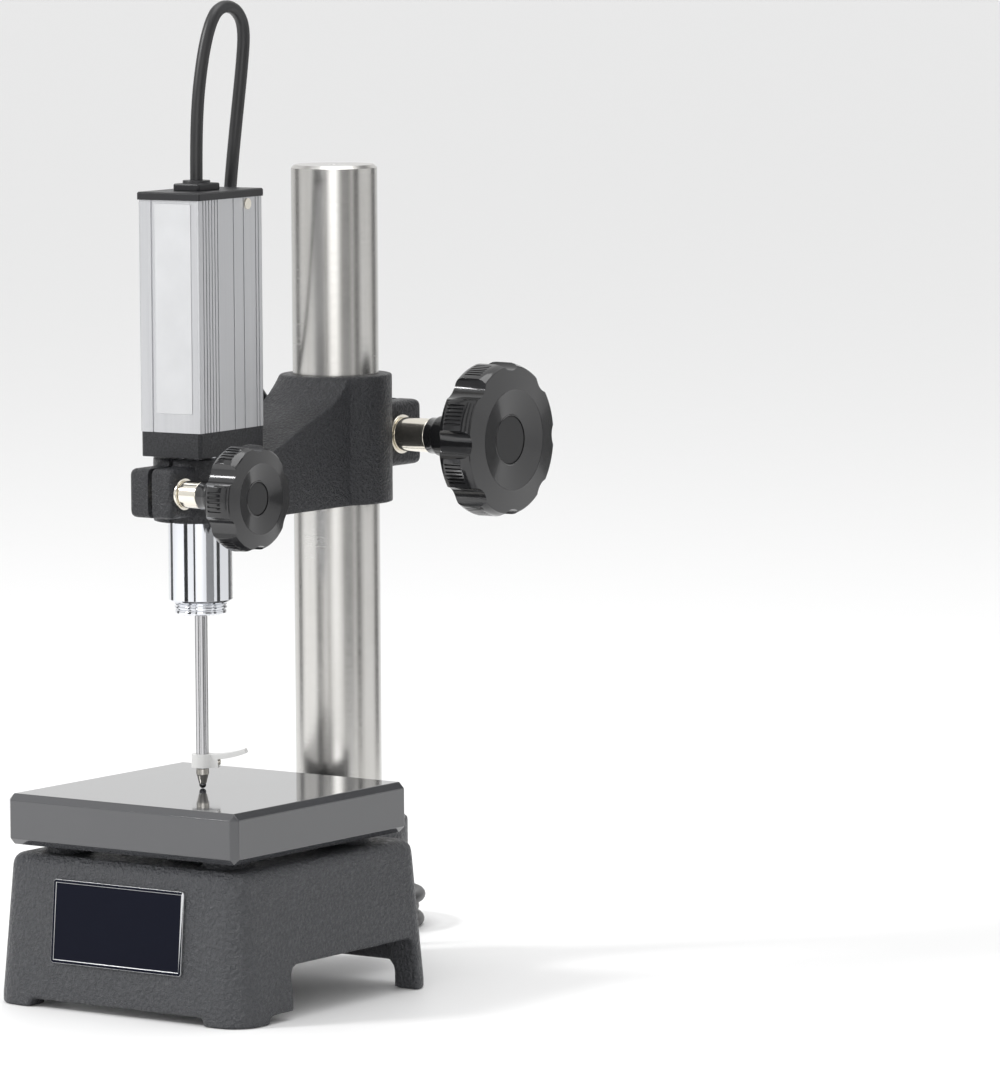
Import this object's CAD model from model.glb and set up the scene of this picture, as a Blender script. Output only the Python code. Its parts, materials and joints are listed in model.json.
"""Looks of the comparator stand with its digital length gauge.

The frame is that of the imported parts: +Z up, the gauge on the Z axis, the column behind
it on +Y, the clamp knobs on +X. Shapes are given in millimetres, and the studio and the
grain of the finishes in metres.
"""
import json
import math

import bmesh
import bpy
from mathutils import Matrix, Vector

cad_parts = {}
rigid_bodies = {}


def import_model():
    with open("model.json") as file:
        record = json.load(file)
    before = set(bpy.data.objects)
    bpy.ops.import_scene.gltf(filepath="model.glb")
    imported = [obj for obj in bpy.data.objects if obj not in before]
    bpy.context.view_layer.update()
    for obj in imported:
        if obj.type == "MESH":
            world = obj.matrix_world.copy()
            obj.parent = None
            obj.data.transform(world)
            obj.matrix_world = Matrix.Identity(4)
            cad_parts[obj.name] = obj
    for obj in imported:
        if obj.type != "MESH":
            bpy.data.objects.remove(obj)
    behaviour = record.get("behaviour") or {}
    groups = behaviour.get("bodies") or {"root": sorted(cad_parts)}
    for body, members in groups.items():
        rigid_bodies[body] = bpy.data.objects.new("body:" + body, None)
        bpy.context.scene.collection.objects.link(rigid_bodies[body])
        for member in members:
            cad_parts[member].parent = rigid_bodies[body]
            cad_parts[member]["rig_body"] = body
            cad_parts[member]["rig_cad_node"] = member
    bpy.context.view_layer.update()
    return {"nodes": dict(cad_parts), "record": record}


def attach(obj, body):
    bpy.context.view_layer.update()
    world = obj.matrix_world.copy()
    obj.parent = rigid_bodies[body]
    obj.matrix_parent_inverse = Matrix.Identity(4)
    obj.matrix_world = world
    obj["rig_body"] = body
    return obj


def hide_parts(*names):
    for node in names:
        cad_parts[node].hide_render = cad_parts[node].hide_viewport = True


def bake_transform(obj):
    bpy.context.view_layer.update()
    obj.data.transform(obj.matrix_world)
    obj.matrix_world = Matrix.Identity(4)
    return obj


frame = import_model()
bpy.ops.object.select_all(action="DESELECT")

MM = 0.001
FLOOR = -66.0  # height of the surface that the stand is on, in millimetres
FLOOR_Z = FLOOR * MM
COLUMN_Y = 71.8  # the column's axis, in millimetres behind the gauge's
X, Z = Vector((1, 0, 0)), Vector((0, 0, 1))
CAMERA_AZIMUTH = 35.16  # degrees, to the right of the stand's front


def mm(*values):
    """A point given in millimetres."""
    return Vector(values) * MM


# ---------------------------------------------------------------- camera
def add_camera():
    """A long lens, a little above the stand and tilted a trifle."""
    azimuth, elevation, roll = map(math.radians, (CAMERA_AZIMUTH, 5.85, -0.35))
    distance, aside, above = 2.19297, 0.0931, 0.07916
    back = Vector(
        (
            math.sin(azimuth) * math.cos(elevation),
            -math.cos(azimuth) * math.cos(elevation),
            math.sin(elevation),
        )
    )
    level = Vector((math.cos(azimuth), math.sin(azimuth), 0))
    upright = back.cross(level)
    right = level * math.cos(roll) + upright * math.sin(roll)
    up = upright * math.cos(roll) - level * math.sin(roll)
    data = bpy.data.cameras.new("camera")
    data.lens = 235.3
    data.sensor_width = 36.0
    data.clip_start, data.clip_end = 0.1, 20.0
    camera = bpy.data.objects.new("camera", data)
    bpy.context.scene.collection.objects.link(camera)
    camera.matrix_world = Matrix.Translation(
        back * distance + right * aside + up * above
    ) @ Matrix((right, up, back)).transposed().to_4x4()
    bpy.context.scene.camera = camera


add_camera()


# ---------------------------------------------------------------- shader tools
class Value:
    """A node's output; arithmetic on it adds Math nodes."""

    def __init__(self, socket):
        self.socket = socket

    def math(self, operation, other, first=True):
        """The operation on this value and the other, or on the other and this value."""
        node = self.socket.id_data.nodes.new("ShaderNodeMath")
        node.operation = operation
        for slot, term in zip(node.inputs, (self, other) if first else (other, self)):
            feed(slot, term)
        return Value(node.outputs[0])

    def __add__(self, other):
        return self.math("ADD", other)

    def __radd__(self, other):
        return self.math("ADD", other)

    def __sub__(self, other):
        return self.math("SUBTRACT", other)

    def __rsub__(self, other):
        return self.math("SUBTRACT", other, first=False)

    def __mul__(self, other):
        return self.math("MULTIPLY", other)

    def __rmul__(self, other):
        return self.math("MULTIPLY", other)

    def clamped(self):
        """The same value, held between 0 and 1."""
        held = self.math("ADD", 0.0)
        held.socket.node.use_clamp = True
        return held


def feed(slot, value):
    """Joins an input to a node's output, or sets what it holds."""
    if isinstance(value, Value):
        slot.id_data.links.new(value.socket, slot)
    else:
        slot.default_value = value


class Finish:
    """A procedural material around one Principled shader."""

    def __init__(self, name, colour, roughness, metallic=0.0, **constants):
        self.material = bpy.data.materials.new(name)
        self.material.use_nodes = True
        self.tree = self.material.node_tree
        self.shader = self.tree.nodes["Principled BSDF"]
        self.set("Base Color", (*colour, 1.0))
        self.set("Roughness", roughness)
        self.set("Metallic", metallic)
        for key, value in constants.items():
            self.set(key.replace("_", " "), value)
        self.place = self.node("ShaderNodeTexCoord", output="Object")

    def set(self, socket, value):
        feed(self.shader.inputs[socket], value)

    def node(self, kind, settings=None, output=0, **links):
        """Adds a node: its settings first, then what its sockets hold or are joined to."""
        node = self.tree.nodes.new(kind)
        for key, value in (settings or {}).items():
            setattr(node, key, value)
        for key, value in links.items():
            feed(node.inputs[key], value)
        return Value(node.outputs[output])

    def noise(self, size, detail=2.0, roughness=0.5, stretch=(1, 1, 1)):
        """Noise from 0 to 1 whose blobs are about size metres across."""
        vector = self.place
        if stretch != (1, 1, 1):
            vector = self.node("ShaderNodeMapping", Vector=vector, Scale=stretch)
        return self.node(
            "ShaderNodeTexNoise", Vector=vector, Scale=1 / size, Detail=detail, Roughness=roughness
        )

    def mix(self, mask, low, high):
        """Colour low where mask is 0, high where it is 1."""
        blend = self.node("ShaderNodeMix", {"data_type": "RGBA"}, output=2)
        inputs = blend.socket.node.inputs
        # the colour inputs are numbers 6 and 7; their names belong to other kinds too
        for number, value in ((0, mask), (6, (*low, 1.0)), (7, (*high, 1.0))):
            feed(inputs[number], value)
        return blend

    def bump(self, height, depth, strength=1.0):
        """Normal from a height of 0 to 1, depth metres deep."""
        return self.node("ShaderNodeBump", Height=height, Distance=depth, Strength=strength)


# ---------------------------------------------------------------- finishes
def cast_paint(name, low, high, grain, depth, roughness):
    """Thick wrinkle paint: blobs with rounded tops, darker in the hollows."""
    paint = Finish(name, low, roughness)
    coarse = paint.noise(grain, 2.0, 0.45)
    fine = paint.noise(grain * 0.36, 2.0, 0.5)
    patch = paint.noise(0.035, 2.0)
    height = coarse * 0.7 + fine * 0.3
    tops = ((height - 0.4) * 4.5).clamped()
    paint.set("Base Color", paint.mix(tops * 0.8 + patch * 0.2, low, high))
    paint.set("Roughness", roughness + 0.16 - 0.2 * tops + 0.06 * patch)
    paint.set("Normal", paint.bump(tops * 0.25 + height, depth))
    return paint.material


def rim_finish():
    """Blasted rim of the plate: fine marks and slow bands of tone."""
    metal = Finish("plate_rim", (0.72, 0.73, 0.74), 0.34, 1.0)
    marks = metal.noise(0.0006, 3.0, 0.7)
    bands = metal.noise(0.0084, 2.0, 0.5)
    dull = metal.noise(0.02, 3.0)
    tone = bands * 0.7 + marks * 0.3
    metal.set("Base Color", metal.mix(tone, (0.6336, 0.6424, 0.6512), (0.72, 0.73, 0.74)))
    metal.set("Roughness", 0.28 + 0.12 * marks + 0.06 * dull)
    metal.set("Normal", metal.bump(marks, 0.000006, 0.5))
    return metal.material


def smooth_metal(name, colour, roughness):
    """Polished or plated metal with faint wear."""
    metal = Finish(name, colour, roughness, 1.0)
    haze = metal.noise(0.006, 4.0, 0.6)
    rub = metal.noise(0.0009, 2.0)
    metal.set("Roughness", roughness * 0.8 + haze * roughness * 0.45)
    metal.set("Base Color", metal.mix(haze, tuple(c * 0.93 for c in colour), colour))
    metal.set("Normal", metal.bump(rub, 0.000004, 0.4))
    return metal.material


def moulded_plastic(name, colour, roughness, grain=0.0004, depth=0.00001, coat=0.0, shine=0.5):
    """Moulded plastic: even colour, faint grain, dust-soft highlights."""
    plastic = Finish(
        name, colour, roughness, Coat_Weight=coat, Coat_Roughness=0.06, Specular_IOR_Level=shine
    )
    cloud = plastic.noise(0.009, 3.0)
    skin = plastic.noise(grain, 2.0)
    plastic.set("Base Color", plastic.mix(cloud, tuple(c * 0.86 for c in colour), colour))
    plastic.set("Roughness", roughness - 0.03 + 0.07 * cloud + 0.04 * skin)
    plastic.set("Normal", plastic.bump(skin, depth))
    return plastic.material


def ceramic_finish():
    """Lapped grey ceramic: glossy, with a slow cloud and hair-fine marks."""
    ceramic = Finish(
        "ceramic_grey", (0.048, 0.049, 0.052), 0.08, Specular_IOR_Level=0.7,
        Coat_Weight=0.6, Coat_Roughness=0.04,
    )
    cloud = ceramic.noise(0.03, 4.0)
    speck = ceramic.noise(0.0005, 2.0)
    rub = ceramic.noise(0.0012, 3.0, 0.6, (1, 12, 1))
    ceramic.set("Base Color", ceramic.mix(cloud, (0.036, 0.037, 0.041), (0.046, 0.047, 0.051)))
    ceramic.set("Roughness", 0.06 + 0.04 * cloud + 0.02 * speck + 0.02 * rub)
    ceramic.set("Normal", ceramic.bump(rub, 0.0000015, 0.3))
    return ceramic.material


def column_finish():
    """Ground column: bands along its length, faint rings across it, a little tarnish."""
    steel = Finish("ground_steel", (0.66, 0.65, 0.63), 0.2, 1.0, Anisotropic=0.5)
    rings = steel.noise(0.0006, 2.0, 0.6, (0.06, 0.06, 1))
    lengthwise = steel.noise(0.0024, 3.0, 0.6, (1, 1, 0.012))
    stain = steel.noise(0.018, 5.0, 0.65, (1, 1, 0.35))
    tone = (lengthwise * 0.5 + stain * 0.5 - 0.2) * 1.5
    steel.set("Base Color", steel.mix(tone.clamped(), (0.47, 0.455, 0.43), (0.72, 0.715, 0.7)))
    steel.set("Roughness", 0.13 + 0.12 * rings + 0.1 * stain)
    steel.set("Normal", steel.bump(rings * 0.6 + lengthwise * 0.4, 0.00002, 0.35))
    return steel.material


def housing_finish():
    """Satin anodised extrusion with die lines along its length."""
    metal = Finish("housing_aluminium", (0.78, 0.785, 0.8), 0.34, 1.0)
    lines = metal.noise(0.0005, 3.0, 0.7, (1, 1, 0.01))
    broad = metal.noise(0.004, 2.0, 0.5, (1, 1, 0.03))
    tone = lines * 0.5 + broad * 0.5
    metal.set("Base Color", metal.mix(tone, (0.52, 0.525, 0.54), (0.7, 0.705, 0.72)))
    metal.set("Roughness", 0.4 + 0.12 * lines + 0.04 * broad)
    metal.set("Normal", metal.bump(lines, 0.000008, 0.4))
    return metal.material


def cable_finish():
    """Soft black sheath with a fine grain and faint scuffs."""
    sheath = Finish("cable_black", (0.013, 0.013, 0.014), 0.36)
    grain = sheath.noise(0.0003, 2.0)
    scuff = sheath.noise(0.011, 4.0)
    sheath.set("Base Color", sheath.mix(scuff, (0.01, 0.01, 0.011), (0.022, 0.022, 0.023)))
    sheath.set("Roughness", 0.3 + 0.16 * scuff + 0.04 * grain)
    sheath.set("Normal", sheath.bump(grain, 0.00001, 0.5))
    return sheath.material


def glass_finish():
    """Frosted scale glass with fine graduations across it."""
    pitch, line_width = 0.0008, 0.00016
    glass = Finish("scale_glass", (0.6, 0.72, 0.7), 0.12)
    height = glass.node("ShaderNodeSeparateXYZ", output=2, Vector=glass.place)
    dark = height.math("PINGPONG", pitch / 2).math("LESS_THAN", line_width / 2)
    glass.set("Base Color", glass.mix(dark, (0.6, 0.72, 0.7), (0.1, 0.12, 0.12)))
    glass.set("Roughness", 0.1 + 0.1 * glass.noise(0.002))
    return glass.material


# hollows, tops, grain, depth, roughness
PAINTS = {
    "cast_grey_paint": ((0.045, 0.047, 0.052), (0.06, 0.062, 0.068), 0.0012, 0.0012, 0.3),
    "arm_charcoal_paint": ((0.014, 0.0145, 0.017), (0.022, 0.023, 0.027), 0.0009, 0.0006, 0.32),
    "block_black": ((0.009, 0.0095, 0.011), (0.018, 0.0185, 0.022), 0.0006, 0.00008, 0.44),
}
# colour, roughness
METALS = {
    "plain_steel": ((0.5, 0.5, 0.5), 0.28),
    "insert_brass": ((0.7, 0.5, 0.22), 0.3),
    "nickel": ((0.83, 0.79, 0.7), 0.14),
    "stem_chrome": ((0.74, 0.755, 0.79), 0.07),
    "spindle_steel": ((0.5, 0.5, 0.51), 0.12),
    "tip_steel": ((0.62, 0.6, 0.56), 0.3),
    "bush_bronze": ((0.65, 0.42, 0.25), 0.3),
    "spring_steel": ((0.55, 0.55, 0.56), 0.2),
    "ball_carbide": ((0.08, 0.08, 0.085), 0.08),
    "contact_gold": ((0.95, 0.68, 0.3), 0.2),
}
# colour, roughness, grain, depth
PLASTICS = {
    "black_plastic": ((0.012, 0.012, 0.014), 0.4, 0.0005, 0.00003),
    "knob_cap_matt": ((0.02, 0.02, 0.021), 0.6, 0.0004, 0.00004),
    "rubber_black": ((0.016, 0.016, 0.017), 0.55),
    "board_green": ((0.01, 0.09, 0.04), 0.35),
}
FINISHES = {
    "ceramic_grey": ceramic_finish(),
    "ground_steel": column_finish(),
    "housing_aluminium": housing_finish(),
    "cable_black": cable_finish(),
    "scale_glass": glass_finish(),
    "plate_rim": rim_finish(),
    "plate_navy": moulded_plastic(
        "plate_navy", (0.004, 0.005, 0.012), 0.36, 0.0006, 0.000006, shine=0.08
    ),
    "label_white": moulded_plastic("label_white", (0.55, 0.555, 0.565), 0.5, shine=0.3),
    "knob_black": moulded_plastic("knob_black", (0.012, 0.012, 0.013), 0.13, coat=0.4),
    "lever_white": moulded_plastic("lever_white", (0.76, 0.76, 0.75), 0.3, coat=0.15),
}
for maker, looks in ((cast_paint, PAINTS), (smooth_metal, METALS), (moulded_plastic, PLASTICS)):
    for finish_name, look in looks.items():
        FINISHES[finish_name] = maker(finish_name, *look)


# ---------------------------------------------------------------- modelling tools
def active(piece):
    """Selects the piece alone."""
    bpy.ops.object.select_all(action="DESELECT")
    piece.select_set(True)
    bpy.context.view_layer.objects.active = piece
    return piece


def settle(piece, name):
    """Names a new piece and gives it its place in its own mesh."""
    active(piece).name = name
    piece.data.name = name
    bpy.ops.object.transform_apply(location=True, rotation=True, scale=True)
    return piece


def shaped(piece, steps):
    """Takes steps on the piece in edit mode, with nothing selected at first."""
    active(piece)
    bpy.ops.object.mode_set(mode="EDIT")
    bpy.ops.mesh.select_all(action="DESELECT")
    steps()
    bpy.ops.object.mode_set(mode="OBJECT")
    return piece


def choose_edges(piece, test):
    """Selects the edges that pass a test."""
    mesh = bmesh.from_edit_mesh(piece.data)
    bpy.ops.mesh.select_mode(type="EDGE")
    for edge in mesh.edges:
        edge.select_set(test(edge))
    mesh.select_flush_mode()
    bmesh.update_edit_mesh(piece.data)


def modified(piece, kind, **settings):
    """Adds a modifier and applies it."""
    active(piece)
    modifier = piece.modifiers.new(kind.lower(), kind)
    for key, value in settings.items():
        setattr(modifier, key, value)
    bpy.ops.object.modifier_apply(modifier=modifier.name)
    return piece


def cut(piece, tool, operation="DIFFERENCE"):
    """Cuts, joins or crosses the piece with a tool, which is used up."""
    modified(piece, "BOOLEAN", object=tool, operation=operation, solver="EXACT")
    bpy.data.objects.remove(tool)
    return piece


def joined(pieces):
    """Two or more pieces as one mesh."""
    active(pieces[0])
    for piece in pieces[1:]:
        piece.select_set(True)
    bpy.ops.object.join()
    return pieces[0]


def copied(piece):
    """A copy with its own mesh."""
    twin = piece.copy()
    twin.data = piece.data.copy()
    bpy.context.scene.collection.objects.link(twin)
    return twin


def softened(piece, width, segments=2):
    """Breaks the sharp edges by a width in millimetres."""
    return modified(
        piece, "BEVEL", width=width * MM, segments=segments, limit_method="ANGLE",
        angle_limit=math.radians(30), use_clamp_overlap=True, harden_normals=False,
    )


def smooth(piece, angle=35.0):
    """Smooth shading that leaves broad faces flat beside their narrow broken edges."""
    active(piece)
    bpy.ops.object.shade_smooth_by_angle(angle=math.radians(angle))
    return modified(piece, "WEIGHTED_NORMAL", keep_sharp=True)


def painted(piece, finish):
    """Gives the whole piece one finish."""
    piece.data.materials.clear()
    piece.data.materials.append(FINISHES[finish])
    return piece


def placed(piece, body, finish, nodes, angle=35.0):
    """Finish, body, slot and the part's nodes that this piece stands for. The slot is the
    finish's unless another is given."""
    smooth(piece, angle)
    painted(piece, finish)
    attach(piece, body)
    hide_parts(*nodes)
    return piece


def block(name, low, high):
    """Box between two corners given in millimetres."""
    low, high = mm(*low), mm(*high)
    bpy.ops.mesh.primitive_cube_add(size=1, location=(low + high) / 2, scale=high - low)
    return settle(bpy.context.object, name)


def rod(name, radius, start, end, sides):
    """Round bar between two points in millimetres."""
    start, end = mm(*start), mm(*end)
    along = end - start
    bpy.ops.mesh.primitive_cylinder_add(
        vertices=sides,
        radius=radius * MM,
        depth=along.length,
        location=(start + end) / 2,
        rotation=along.to_track_quat("Z", "Y").to_euler(),
    )
    return settle(bpy.context.object, name)


def turned(name, origin, direction, profile, sides):
    """Turned solid: (distance along the axis, radius) pairs in millimetres from one end
    face to the other."""
    origin = mm(*origin)
    distance, radius = profile[0]
    bpy.ops.mesh.primitive_circle_add(
        vertices=sides,
        radius=radius * MM,
        fill_type="NGON",
        location=origin + direction * distance * MM,
        rotation=direction.to_track_quat("Z", "Y").to_euler(),
    )
    piece = settle(bpy.context.object, name)

    def extrude():
        at, size = profile[0]
        bpy.ops.mesh.select_all(action="SELECT")
        for distance, radius in profile[1:]:
            bpy.ops.mesh.extrude_region_move(
                TRANSFORM_OT_translate={"value": direction * (distance - at) * MM}
            )
            bpy.ops.transform.resize(
                value=(radius / size,) * 3, center_override=origin + direction * distance * MM
            )
            at, size = distance, radius
        bpy.ops.mesh.select_all(action="SELECT")
        bpy.ops.mesh.normals_make_consistent(inside=False)

    return shaped(piece, extrude)


def swung(piece, origin, axis, angle):
    """Turns the piece by degrees about an axis through a point in millimetres."""
    centre = Matrix.Translation(mm(*origin))
    turn = Matrix.Rotation(math.radians(angle), 4, axis)
    active(piece).matrix_world = centre @ turn @ centre.inverted()
    bpy.ops.object.transform_apply(location=True, rotation=True, scale=True)
    return piece


def spread(piece, origin, axis, count, first=0.0):
    """The piece copied round an axis, as one mesh."""
    row = [piece] + [copied(piece) for _ in range(count - 1)]
    for number, item in enumerate(row):
        swung(item, origin, axis, first + 360 * number / count)
    return joined(row)


def from_part(node):
    """A merged copy of a part's mesh, to be worked on."""
    copy = copied(frame["nodes"][node])
    copy.parent = None
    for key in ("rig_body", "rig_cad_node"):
        if key in copy:
            del copy[key]
    copy.name = f"{node}_piece"
    copy.data.name = copy.name
    copy.data.materials.clear()

    def merge():
        bpy.ops.mesh.select_all(action="SELECT")
        bpy.ops.mesh.remove_doubles(threshold=0.002 * MM)
        bpy.ops.mesh.dissolve_limited(angle_limit=math.radians(0.6))

    return shaped(copy, merge)


def cast(piece, voxel, rounds):
    """Gives a casting its rounded edges: meshed afresh, then smoothed for some rounds."""
    modified(piece, "REMESH", mode="VOXEL", voxel_size=voxel * MM, use_smooth_shade=True)
    modified(piece, "SMOOTH", factor=0.5, iterations=rounds)
    return piece


# ---------------------------------------------------------------- cable
CABLE_R = 2.0
# from the gauge's strain relief, over and behind the arm, down to the surface
CABLE_ROUTE = [
    (0, 0, 190.5),
    (0, 0, 209),
    (-0.4, 4.2, 229),
    (-0.6, 9.6, 241.1),
    (-0.9, 16.1, 244.4),
    (-1.1, 23.1, 242.7),
    (-1.5, 27.4, 236.8),
    (-2.4, 27.0, 224.5),
    (-4.6, 26.4, 206),
    (-8.0, 27.5, 186),
    (-12.5, 31.5, 166),
    (-17.5, 38.5, 147),
    (-22.0, 50.5, 130),
    (-25.5, 66.5, 116),
    (-24.5, 83.5, 101),
    (-18.5, 95.5, 82),
    (-15.4, 100.3, 58),
    (-14.4, 101.4, 28),
    (-14.9, 101.0, -3),
    (-15.3, 101.2, -30),
    (-15.8, 103.2, -47),
    (-16.7, 110.0, -60),
    (-18.0, 121.0, -64),
    (-21.6, 133.0, -64),
]

COIL_CENTRE = (-50.0, 140.0)
COIL_OUTER, COIL_INNER = 26.2, 17.9
COIL_PITCH = 4.05  # from one layer up to the next
COIL_STEPS = 16  # points in a turn
COIL_SWELL = 1.0195  # the spline runs a little inside the points that steer it
# turns wound so far, radius there and layer there
COIL_STAGES = (
    (0.0, COIL_OUTER, 0), (2.05, COIL_INNER, 0), (2.3, COIL_INNER, 1), (2.57, COIL_INNER, 1),
    (4.62, COIL_OUTER, 1), (4.87, COIL_OUTER, 2), (5.57, COIL_OUTER, 2),
)
LEAVE_ANGLE, LEAVE_RADIUS = math.radians(205), 26.0
# distance along the tangent and height above the surface, up to inside the boot
CABLE_TAIL = ((6.0, 9.9), (11.5, 8.6), (17.5, 7.2), (29.0, 7.2))


def on_coil(radius, angle):
    """The place in plan at a radius and an angle round the coil."""
    return (
        COIL_CENTRE[0] + radius * math.cos(angle),
        COIL_CENTRE[1] + radius * math.sin(angle),
    )


def coil_points():
    """The stored coil: a layer wound inwards, one outwards on top of it, and a last turn
    that leaves along a tangent for the connector."""
    points = []
    for step in range(int(COIL_STAGES[-1][0] * COIL_STEPS) + 1):
        turns = step / COIL_STEPS
        for (t0, r0, l0), (t1, r1, l1) in zip(COIL_STAGES, COIL_STAGES[1:]):
            if t0 <= turns <= t1:
                share = (turns - t0) / (t1 - t0)
                radius, layer = r0 + (r1 - r0) * share, l0 + (l1 - l0) * share
        height = FLOOR + CABLE_R + layer * COIL_PITCH
        points.append((*on_coil(radius * COIL_SWELL, 2 * math.pi * turns), height))
    return points


def tail_points():
    """The last stretch, straight along the tangent where the coil is left."""
    x, y = on_coil(LEAVE_RADIUS, LEAVE_ANGLE)
    along_x, along_y = -math.sin(LEAVE_ANGLE), math.cos(LEAVE_ANGLE)
    return [
        (x + along_x * distance, y + along_y * distance, FLOOR + height)
        for distance, height in CABLE_TAIL
    ]


def spline_object(name, points, bevel):
    """Round cord of a radius in metres that follows points in millimetres."""
    data = bpy.data.curves.new(name, "CURVE")
    data.dimensions = "3D"
    data.resolution_u = 12
    spline = data.splines.new("NURBS")
    spline.points.add(len(points) - 1)
    for knot, point in zip(spline.points, points):
        knot.co = (*mm(*point), 1.0)
    spline.order_u = 3
    spline.use_endpoint_u = True
    data.bevel_depth = bevel
    data.bevel_resolution = 5
    data.use_fill_caps = bevel > 0
    spline_piece = bpy.data.objects.new(name, data)
    bpy.context.scene.collection.objects.link(spline_piece)
    return spline_piece


def spline_line(points):
    """The points that a spline follows."""
    guide = spline_object("guide", points, 0.0)
    mesh = bpy.data.meshes.new_from_object(guide)
    line = [vertex.co.copy() for vertex in mesh.vertices]
    bpy.data.objects.remove(guide)
    bpy.data.meshes.remove(mesh)
    return line


def add_cable():
    """The cable's piece, the line along its middle and its length in metres."""
    points = CABLE_ROUTE + coil_points() + tail_points()
    line = spline_line(points)
    length = sum((b - a).length for a, b in zip(line, line[1:]))
    active(spline_object("cable_piece", points, CABLE_R * MM))
    bpy.ops.object.convert(target="MESH")
    cable = settle(bpy.context.object, "cable_piece")
    smooth(painted(cable, "cable_black"), 60)
    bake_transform(cable)
    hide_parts("cable", "cable_coil")
    return cable, line, length


cable, cable_line, cable_length = add_cable()


# ---------------------------------------------------------------- stand
def add_stand():
    """Base casting, measuring table, column and the plate on the base's front."""
    base = cast(from_part("base_casting"), 0.8, 4)
    placed(base, "stand", "cast_grey_paint", ["base_casting"], angle=60)

    table = block("table_piece", (-45, -42.6, -16), (45, 47.4, 0))
    softened(table, 2.0, 1)
    softened(table, 0.22)
    placed(table, "stand", "ceramic_grey", ["measuring_table"])

    radius, bottom, top = 13.75, -39, 192.3
    column = turned(
        "column_piece", (0, COLUMN_Y, 0), Z,
        [
            (bottom, radius - 0.5), (bottom + 0.5, radius), (top - 1, radius), (top, radius - 1),
            (top, 1.1), (top - 0.3, 0.9), (top - 0.8, 0.05),  # the centre hole
        ],
        128,
    )
    placed(column, "stand", "ground_steel", ["column"])

    plate = softened(from_part("maker_plate"), 0.12)
    placed(plate, "stand", "plate_rim", ["maker_plate"])
    plate.data.materials.append(FINISHES["plate_navy"])
    # the dark field inside the rim
    field_z, half_width, half_height = -38.3 * MM, 24.45 * MM, 11.95 * MM
    for face in plate.data.polygons:
        across, up = abs(face.center.x), abs(face.center.z - field_z)
        if across < half_width and up < half_height and face.normal.y < -0.9:
            face.material_index = 1


# ---------------------------------------------------------------- arm and knobs
ARM_BOTTOM, HOLDER_TOP, COLLAR_TOP = 84.5, 104.4, 125.5
# Y and Z of the two clamp screws, which lie along X
COLUMN_SCREW, HOLDER_SCREW = (95.0, 104.7), (-19.5, 94.6)
KNOB_SIDES = 16  # for each lobe


def knob_profile(size):
    """From the end of the hub to the bottom of the recess for the cap; distances are from
    the knob's back face."""
    radius, t, rim, dish, cap_r = (
        size[key] for key in ("radius", "thickness", "rim", "dish", "cap_r")
    )
    hub, hub_r = size["hub"], size["hub_r"]
    return [
        (-hub, hub_r - 1.1), (-hub + 0.35, hub_r - 0.75), (-hub + 2.2, hub_r - 0.7),
        (-hub + 3.4, hub_r - 0.2), (-hub + 4.2, hub_r), (-0.9, hub_r), (-0.2, hub_r + 0.4),
        (0, hub_r + 1.4), (0, radius - 2.6), (0.25, radius - 1.5), (0.8, radius - 0.7),
        (1.6, radius - 0.25), (3, radius), (t - 4, radius - 0.1), (t - 2.6, radius - 0.45),
        (t - 1.7, radius - 0.95), (t - 1.15, rim + 0.35), (t - 0.9, rim), (t - 0.1, dish + 0.35),
        (t - 0.05, dish + 0.1), (t - 0.15, dish - 0.1), (t - 1.45, cap_r + 0.55),
        (t - 1.3, cap_r + 0.35), (t - 1.35, cap_r + 0.08), (t - 3.0, cap_r + 0.05),
    ]


def knob_outline(y, z, start, end, size):
    """Bar along X with a hollow between each two lobes, its corners rounded."""
    radius, lobes = size["radius"], size["lobes"]
    outline = rod("outline", radius + 0.02, (start, y, z), (end, y, z), lobes * KNOB_SIDES)
    hollow_r, depth = size["hollow"]
    height = z + radius + hollow_r - depth
    hollow = rod("hollow", hollow_r, (start - 1, y, height), (end + 1, y, height), 48)
    cut(outline, spread(hollow, (0, y, z), X, lobes))

    def is_corner(edge):
        along = (edge.verts[0].co - edge.verts[1].co).normalized()
        if abs(along.x) <= 0.99 or len(edge.link_faces) != 2:
            return False
        return edge.calc_face_angle() > math.radians(25)

    def round_corners():
        choose_edges(outline, is_corner)
        bpy.ops.mesh.bevel(offset=size["rounding"] * MM, offset_type="OFFSET", segments=5)

    return shaped(outline, round_corners)


def grip_slots(y, z, back_x, size):
    """Cutters for the short slots across each lobe, their long side along X."""
    radius, t, slots = size["radius"], size["thickness"], size["slots"]
    width, pitch, depth = size["slot"]
    row = []
    for number in range(slots):
        slot = block(
            "slot",
            (back_x + 0.2 * t, y - width / 2, z + radius - depth),
            (back_x + 0.68 * t, y + width / 2, z + radius + 1.5),
        )
        angle = math.degrees(pitch / radius) * (number - (slots - 1) / 2)
        row.append(softened(swung(slot, (0, y, z), X, angle), 0.12, 1))
    lobes = size["lobes"]
    return spread(joined(row), (0, y, z), X, lobes, first=180 / lobes)


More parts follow.
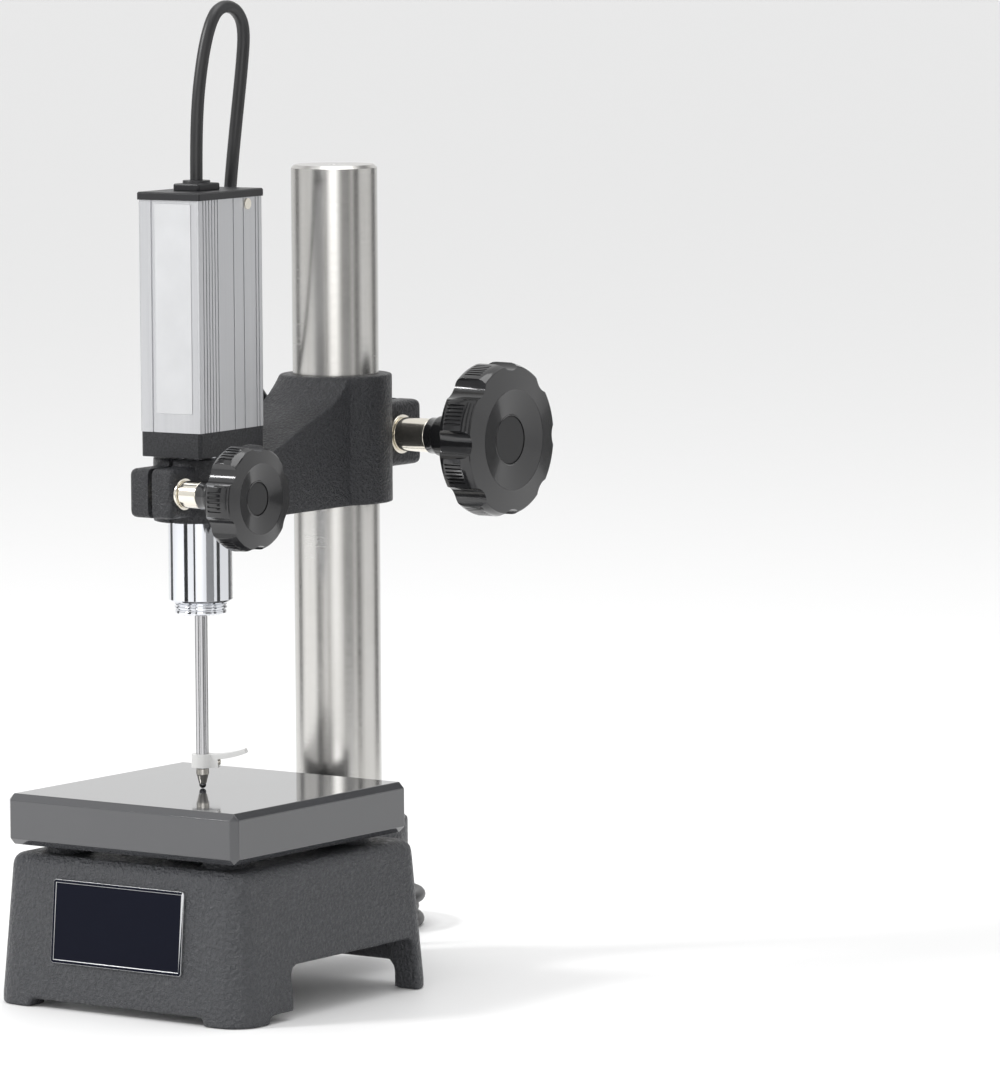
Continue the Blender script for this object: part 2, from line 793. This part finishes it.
def clamp_knob(name, body, node, y, z, face_x, size):
    """Lobed hand knob: a turned body crossed with a lobed outline, grip slots across each
    lobe, and a cap in the middle of its outer face."""
    back_x = face_x - size["thickness"]
    knob = turned(name, (back_x, y, z), X, knob_profile(size), size["lobes"] * KNOB_SIDES)
    start, end = back_x - size["hub"] - 1, face_x + 1
    cut(knob, knob_outline(y, z, start, end, size), "INTERSECT")
    cut(knob, grip_slots(y, z, back_x, size))
    placed(knob, body, "knob_black", [node], angle=24)

    cap_r = size["cap_r"]
    cap = turned(
        f"{name}_cap", (face_x, y, z), X,
        [
            (-2.9, cap_r - 0.1), (-1.75, cap_r - 0.02), (-1.6, cap_r - 0.15), (-1.5, cap_r * 0.9),
            (-1.42, cap_r * 0.5), (-1.4, 0.05),
        ],
        48,
    )
    placed(cap, body, "knob_cap_matt", [size["cap_node"]])


def add_arm():
    """Collar, holder and lugs with a web between them: a bell round the column, cut to the
    web's width, that runs down to the holder."""
    bell = turned(
        "arm_piece", (0, COLUMN_Y, 0), Z,
        [
            (ARM_BOTTOM, 57), (103.6, 57), (106.3, 50), (109.5, 43), (112.7, 35.6), (115.3, 29),
            (117.4, 24.8), (119.6, 22.2), (121.8, 20.3), (123.8, 18.9), (125.4, 18),
            (COLLAR_TOP, 17),
        ],
        96,
    )
    cut(bell, block("web", (-14, 0, 80), (14, COLUMN_Y, 130)), "INTERSECT")
    for solid in (
        rod("collar", 18, (0, COLUMN_Y, ARM_BOTTOM), (0, COLUMN_Y, COLLAR_TOP), 96),
        rod("holder", 14.4, (0, 0, ARM_BOTTOM), (0, 0, HOLDER_TOP), 96),
        softened(block("rear_lugs", (-8.4, 72, 94.2), (8.4, 107.5, 115.2)), 2.2, 4),
        softened(block("front_lugs", (-8.5, -25.2, 86.9), (8.5, 0, 102.3)), 2.0, 4),
    ):
        cut(bell, solid, "UNION")
    arm = cast(bell, 0.45, 5)
    for opening in (
        rod("column_bore", 13.8, (0, COLUMN_Y, 80), (0, COLUMN_Y, 130), 128),
        rod("stem_bore", 10.02, (0, 0, 80), (0, 0, 110), 96),
        block("rear_slot", (-1, 75, 80), (1, 110, 130)),
        block("front_slot", (-0.8, -30, 80), (0.8, -6, 110)),
        rod("rear_hole", 4.1, (-12, *COLUMN_SCREW), (12, *COLUMN_SCREW), 40),
        rod("front_hole", 3.1, (-12, *HOLDER_SCREW), (12, *HOLDER_SCREW), 40),
    ):
        cut(arm, opening)
    placed(arm, "arm", "arm_charcoal_paint", ["arm"], angle=50)
    clamp_knob(
        "column_knob_piece", "column_knob", "column_clamp_knob", *COLUMN_SCREW, 53.3,
        {
            "radius": 24.8, "thickness": 13.0, "lobes": 8, "hub": 19.0, "hub_r": 6.6,
            "dish": 16.0, "rim": 23.3, "cap_r": 7.7, "hollow": (5.6, 2.7), "rounding": 1.5,
            "slots": 6, "slot": (0.62, 1.28, 0.6), "cap_node": "column_knob_cap",
        },
    )
    clamp_knob(
        "holder_knob_piece", "holder_knob", "holder_clamp_knob", *HOLDER_SCREW, 39.0,
        {
            "radius": 16.75, "thickness": 10.5, "lobes": 6, "hub": 12.2, "hub_r": 5.2,
            "dish": 10.9, "rim": 15.3, "cap_r": 5.15, "hollow": (5.2, 2.3), "rounding": 1.4,
            "slots": 5, "slot": (0.68, 1.42, 0.6), "cap_node": "holder_knob_cap",
        },
    )


def add_gauge():
    """Pieces whose edges only need breaking, the grooved nose and the knurled tip."""
    pieces = (
        ("housing", "arm", "housing_aluminium", 0.1),
        ("blank_label", "arm", "label_white", 0.03),
        ("top_cap", "arm", "black_plastic", 0.25),
        ("strain_relief", "arm", "black_plastic", 0.3),
        ("bottom_block", "arm", "block_black", 0.2),
        ("stem", "arm", "stem_chrome", 0.3),
        ("lifting_lever", "spindle", "lever_white", 0.5),
        ("column_clamp_washer", "arm", "nickel", 0.2),
        ("holder_clamp_washer", "arm", "nickel", 0.2),
        ("column_clamp_screw", "column_knob", "nickel", 0.3),
        ("holder_clamp_screw", "holder_knob", "nickel", 0.3),
        ("connector_boot", "stand", "rubber_black", 0.3),
        ("connector_shell", "stand", "nickel", 0.25),
        ("coupling_ring", "stand", "nickel", 0.3),
    )
    for node, body, finish, width in pieces:
        placed(softened(from_part(node), width), body, finish, [node])

    nose = from_part("stem_nose")
    for height in (56.4, 57.9):
        bpy.ops.mesh.primitive_torus_add(
            location=(0, 0, height * MM), major_radius=8.3 * MM, minor_radius=0.38 * MM,
            major_segments=96, minor_segments=12,
        )
        cut(nose, settle(bpy.context.object, "groove"))
    softened(nose, 0.15)
    placed(nose, "arm", "stem_chrome", ["stem_nose"])

    tip = turned(
        "contact_tip_piece", (0, 0, 0), Z,
        [
            (6.4, 1.7), (6.2, 2.0), (4.45, 2.0), (4.2, 1.8), (4.05, 1.75), (1.9, 1.25),
            (1.45, 1.0), (1.4, 0.6),
        ],
        64,
    )
    knurl = block("knurl", (-0.09, 1.86, 4.5), (0.09, 2.4, 6.15))
    cut(tip, spread(knurl, (0, 0, 0), Z, 22))
    placed(tip, "spindle", "tip_steel", ["contact_tip"])


add_stand()
add_arm()
add_gauge()

# parts that no piece stands for are shown as they are, in their slot's finish or another
OTHER_FINISH = {"spindle": "spindle_steel"}
for entry in frame["record"]["subparts"]:
    node = frame["nodes"][entry["node"]]
    if not node.hide_render:
        painted(node, OTHER_FINISH.get(entry["node"], entry["material_slot"]))


# ---------------------------------------------------------------- studio
STAND_MIDDLE = Vector((0, 0.03, 0.06))
CARD_DISTANCE, CARD_HEIGHT, CARD_MIDDLE = 0.5, 0.92, 0.4


def add_floor():
    """Pale surface that the stand is on."""
    bpy.ops.mesh.primitive_plane_add(size=30, location=(0, 0, FLOOR_Z))
    floor = settle(bpy.context.object, "floor")
    pale = Finish("floor_pale", (0.86, 0.86, 0.86), 0.55)
    pale.set("Roughness", 0.5 + 0.1 * pale.noise(0.02))
    floor.data.materials.append(pale.material)


def add_light(name, place, power, size):
    """Square light that faces the stand and is not seen itself."""
    data = bpy.data.lights.new(name, "AREA")
    data.energy, data.size = power, size
    light = bpy.data.objects.new(name, data)
    bpy.context.scene.collection.objects.link(light)
    place = Vector(place)
    light.location = place
    light.rotation_euler = (STAND_MIDDLE - place).to_track_quat("-Z", "Y").to_euler()
    light.visible_camera = False


def add_card(name, bearing, half_angle, tone):
    """Dark card that only mirrors see, so that bright metal gets its dark bands. The bearing
    is in degrees, to the right of the line from the stand to the camera."""
    angle = math.radians(CAMERA_AZIMUTH + bearing)
    place = Vector((math.sin(angle), -math.cos(angle), 0)) * CARD_DISTANCE
    place.y += STAND_MIDDLE.y
    place.z = CARD_MIDDLE
    width = 2 * CARD_DISTANCE * math.tan(math.radians(half_angle))
    bpy.ops.mesh.primitive_plane_add(size=1, location=place, rotation=(math.pi / 2, 0, angle))
    card = bpy.context.object
    card.scale = (width, CARD_HEIGHT, 1)
    settle(card, name)
    dark = Finish(name, (tone, tone, tone), 0.9)
    dark.set("Roughness", 0.85 + 0.1 * dark.noise(0.1))
    card.data.materials.append(dark.material)
    for sight in ("camera", "shadow", "diffuse", "transmission", "volume_scatter"):
        setattr(card, f"visible_{sight}", False)


def add_studio():
    """White surroundings, three lights, and cards for the metal to mirror."""
    bpy.context.scene.view_settings.view_transform = "Standard"
    world = bpy.data.worlds.new("studio")
    bpy.context.scene.world = world
    world.use_nodes = True
    sky = world.node_tree.nodes["Background"]
    sky.inputs["Color"].default_value = (1, 1, 1, 1)
    sky.inputs["Strength"].default_value = 0.92
    add_light("key", (-0.9, -1.1, 1.2), 17, 0.35)
    add_light("front", (1.1, -1.6, 0.4), 4, 0.8)
    add_light("top", (0.1, 0.1, 1.5), 7, 1.0)
    add_card("card_far_left", -120, 9, 0.1)
    add_card("card_left", -50, 7, 0.03)
    add_card("card_line", -20, 3, 0.03)
    add_card("card_right", 34, 14, 0.25)
    add_card("card_edge", 66, 7, 0.04)
    add_card("card_far_right", 130, 10, 0.1)


add_floor()
add_studio()
